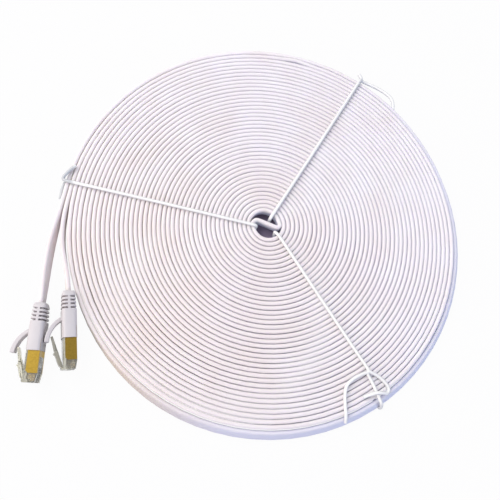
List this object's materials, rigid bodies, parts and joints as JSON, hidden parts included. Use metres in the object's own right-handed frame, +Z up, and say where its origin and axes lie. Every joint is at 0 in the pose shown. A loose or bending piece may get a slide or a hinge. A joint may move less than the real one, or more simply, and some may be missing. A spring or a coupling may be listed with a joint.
{
  "type": "flat ethernet patch cable",
  "caption": "Flat white patch cable wound on edge into a flat round coil held by wire ties, with a clear modular plug, boot and latch guard at each end.",
  "frame": {"origin": "middle of the object's outline in plan, on the surface it rests on", "axes": "+Z up out of the coil's flat side, +X to the right and +Y away, as seen with the plugs at the near left"},
  "size_m": [0.2331, 0.2189, 0.0142],
  "materials": {
    "jacket": "satin white",
    "tie_coat": "smooth white",
    "boot": "satin white",
    "clear_plastic": "clear polished",
    "plated_shell": "bright gold plating",
    "contact_plating": "gold plating",
    "wire_insulation": "coloured insulation"
  },
  "bodies": {
    "cable": {"cable_coil": "jacket", "left_lead": "jacket", "right_lead": "jacket", "left_tie": "tie_coat", "upper_tie": "tie_coat", "lower_tie": "tie_coat", "left_boot": "boot", "left_plug_body": "clear_plastic", "left_shield": "plated_shell", "left_contacts": "contact_plating", "left_wires": "wire_insulation", "left_load_bar": "clear_plastic", "left_jacket_end": "jacket", "right_boot": "boot", "right_plug_body": "clear_plastic", "right_shield": "plated_shell", "right_contacts": "contact_plating", "right_wires": "wire_insulation", "right_load_bar": "clear_plastic", "right_jacket_end": "jacket"},
    "left_guard_lever": {"left_guard": "boot"},
    "left_latch_tab": {"left_latch": "clear_plastic"},
    "right_guard_lever": {"right_guard": "boot"},
    "right_latch_tab": {"right_latch": "clear_plastic"}
  },
  "joints": [
    {"name": "left_guard_press", "type": "hinge", "parent": "cable", "child": "left_guard_lever", "pos_m": [-0.10993, -0.0685, 0.0066], "axis": [0, 0, 1], "range_deg": [0, 12], "stiffness_Nm_per_rad": 0.02},
    {"name": "left_latch_press", "type": "hinge", "parent": "cable", "child": "left_latch_tab", "pos_m": [-0.10925, -0.09229, 0.0066], "axis": [0, 0, -1], "range_deg": [0, 7.2], "stiffness_Nm_per_rad": 0.05},
    {"name": "right_guard_press", "type": "hinge", "parent": "cable", "child": "right_guard_lever", "pos_m": [-0.09572, -0.06182, 0.00802], "axis": [0.2389, 0.0378, 0.9703], "range_deg": [0, 12], "stiffness_Nm_per_rad": 0.02},
    {"name": "right_latch_press", "type": "hinge", "parent": "cable", "child": "right_latch_tab", "pos_m": [-0.09194, -0.08532, 0.00801], "axis": [-0.2389, -0.0378, -0.9703], "range_deg": [0, 7.2], "stiffness_Nm_per_rad": 0.05}
  ],
  "couplings": [
    {"joint": "left_latch_press", "follows": "left_guard_press", "ratio": 0.6},
    {"joint": "right_latch_press", "follows": "right_guard_press", "ratio": 0.6}
  ]
}
